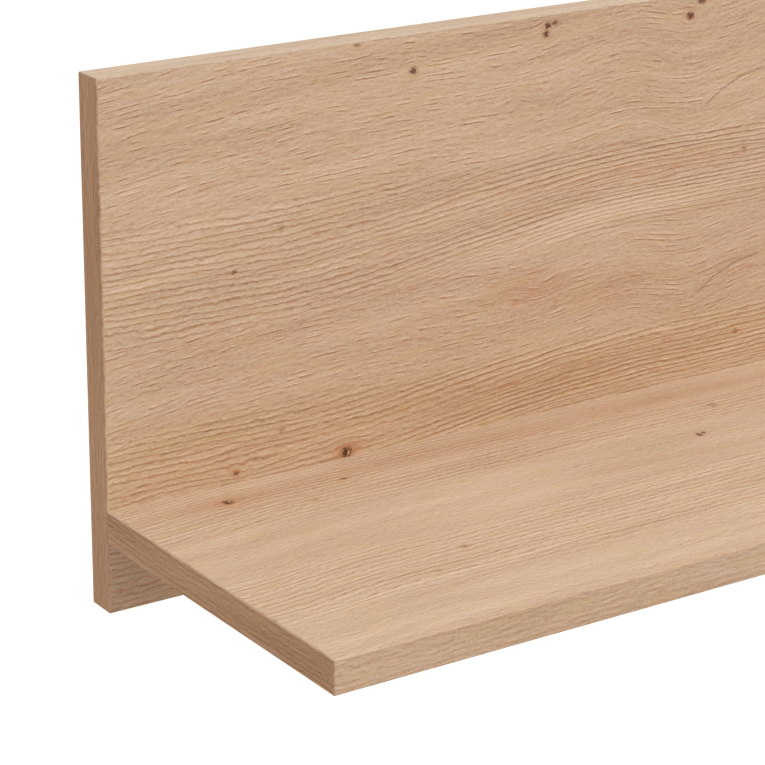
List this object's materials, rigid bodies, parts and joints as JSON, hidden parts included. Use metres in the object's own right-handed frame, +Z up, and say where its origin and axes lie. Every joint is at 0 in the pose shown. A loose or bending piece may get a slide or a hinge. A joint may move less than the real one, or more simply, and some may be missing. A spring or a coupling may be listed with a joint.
{
  "type": "wall shelf",
  "caption": "Long wall shelf of wood-decor board: a standing back panel with a flat shelf butted to its face near the bottom edge, held by hidden cam fittings and hung on keyhole plates.",
  "frame": {"origin": "centre of the panel's flat back face, which lies on the wall", "axes": "+X along the shelf's length, to the right seen from the front, +Y into the wall, +Z up"},
  "size_m": [1.2, 0.204, 0.25],
  "materials": {
    "oak_decor_board": "matt knotty oak decor with a fine pressed grain, on chipboard",
    "oak_decor_band": "matt printed oak edge band",
    "cam_zinc": "die-cast zinc",
    "bolt_steel": "zinc-plated steel",
    "dowel_beech": "raw beech",
    "hanger_steel": "zinc-plated sheet steel",
    "screw_steel": "zinc-plated steel"
  },
  "bodies": {
    "shelf_assembly": {"back_panel": "oak_decor_board", "shelf_board": "oak_decor_board", "back_panel_band_top": "oak_decor_band", "back_panel_band_bottom": "oak_decor_band", "back_panel_band_left": "oak_decor_band", "back_panel_band_right": "oak_decor_band", "shelf_band_front": "oak_decor_band", "shelf_band_left": "oak_decor_band", "shelf_band_right": "oak_decor_band", "cam_bolt_1": "bolt_steel", "cam_bolt_2": "bolt_steel", "cam_bolt_3": "bolt_steel", "cam_bolt_4": "bolt_steel", "dowel_1": "dowel_beech", "dowel_2": "dowel_beech", "dowel_3": "dowel_beech", "dowel_4": "dowel_beech", "dowel_5": "dowel_beech", "hanger_plate_left": "hanger_steel", "hanger_plate_right": "hanger_steel", "hanger_screw_1": "screw_steel", "hanger_screw_2": "screw_steel", "hanger_screw_3": "screw_steel", "hanger_screw_4": "screw_steel"},
    "cam_1": {"cam_lock_1": "cam_zinc"},
    "cam_2": {"cam_lock_2": "cam_zinc"},
    "cam_3": {"cam_lock_3": "cam_zinc"},
    "cam_4": {"cam_lock_4": "cam_zinc"}
  },
  "joints": [
    {"name": "cam_1_turn", "type": "hinge", "parent": "shelf_assembly", "child": "cam_1", "pos_m": [-0.55, -0.05, -0.083], "axis": [0, 0, -1], "range_deg": [0, 180]},
    {"name": "cam_2_turn", "type": "hinge", "parent": "shelf_assembly", "child": "cam_2", "pos_m": [-0.18333, -0.05, -0.083], "axis": [0, 0, -1], "range_deg": [0, 180]},
    {"name": "cam_3_turn", "type": "hinge", "parent": "shelf_assembly", "child": "cam_3", "pos_m": [0.18333, -0.05, -0.083], "axis": [0, 0, -1], "range_deg": [0, 180]},
    {"name": "cam_4_turn", "type": "hinge", "parent": "shelf_assembly", "child": "cam_4", "pos_m": [0.55, -0.05, -0.083], "axis": [0, 0, -1], "range_deg": [0, 180]}
  ]
}
